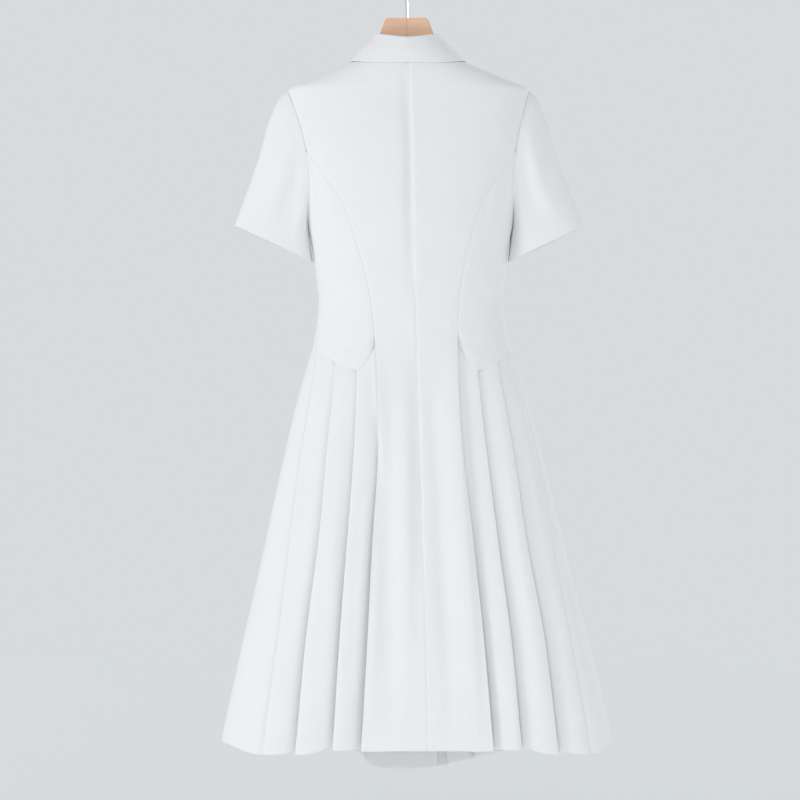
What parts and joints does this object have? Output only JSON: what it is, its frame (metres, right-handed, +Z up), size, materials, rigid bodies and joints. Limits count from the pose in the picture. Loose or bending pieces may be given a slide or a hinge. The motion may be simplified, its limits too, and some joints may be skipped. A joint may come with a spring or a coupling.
{
  "type": "double-breasted dress on a wooden hanger",
  "caption": "Short-sleeved double-breasted dress with a turned-down collar, lapels, princess seams and a knife-pleated skirt, hung open on a flat wooden hanger with a wire hook.",
  "frame": {"origin": "inside top of the hanger's hook, where a rail or peg carries it", "axes": "+Z up; the front of the dress faces -Y; +X is the wearer's left"},
  "size_m": [0.5976, 0.2074, 1.2648],
  "materials": {
    "cloth": "matt white suiting with a fine weave",
    "buttons": "polished white resin",
    "wood": "pale straight-grained, satin varnish",
    "wire": "bright plated steel wire"
  },
  "bodies": {
    "root": {"back_left": "cloth", "back_right": "cloth", "collar": "cloth", "front_left": "cloth", "front_right": "cloth", "lapel_left": "cloth", "lapel_right": "cloth", "side_back_left": "cloth", "side_back_right": "cloth", "side_front_left": "cloth", "side_front_right": "cloth", "skirt_back_left": "cloth", "skirt_back_right": "cloth", "skirt_front_left": "cloth", "skirt_front_right": "cloth", "sleeve_left": "cloth", "sleeve_right": "cloth", "button_1": "buttons", "button_2": "buttons", "button_3": "buttons", "button_4": "buttons", "button_5": "buttons", "button_6": "buttons", "button_7": "buttons", "button_8": "buttons", "hanger_left": "wood", "hanger_right": "wood", "hook": "wire"}
  },
  "joints": []
}
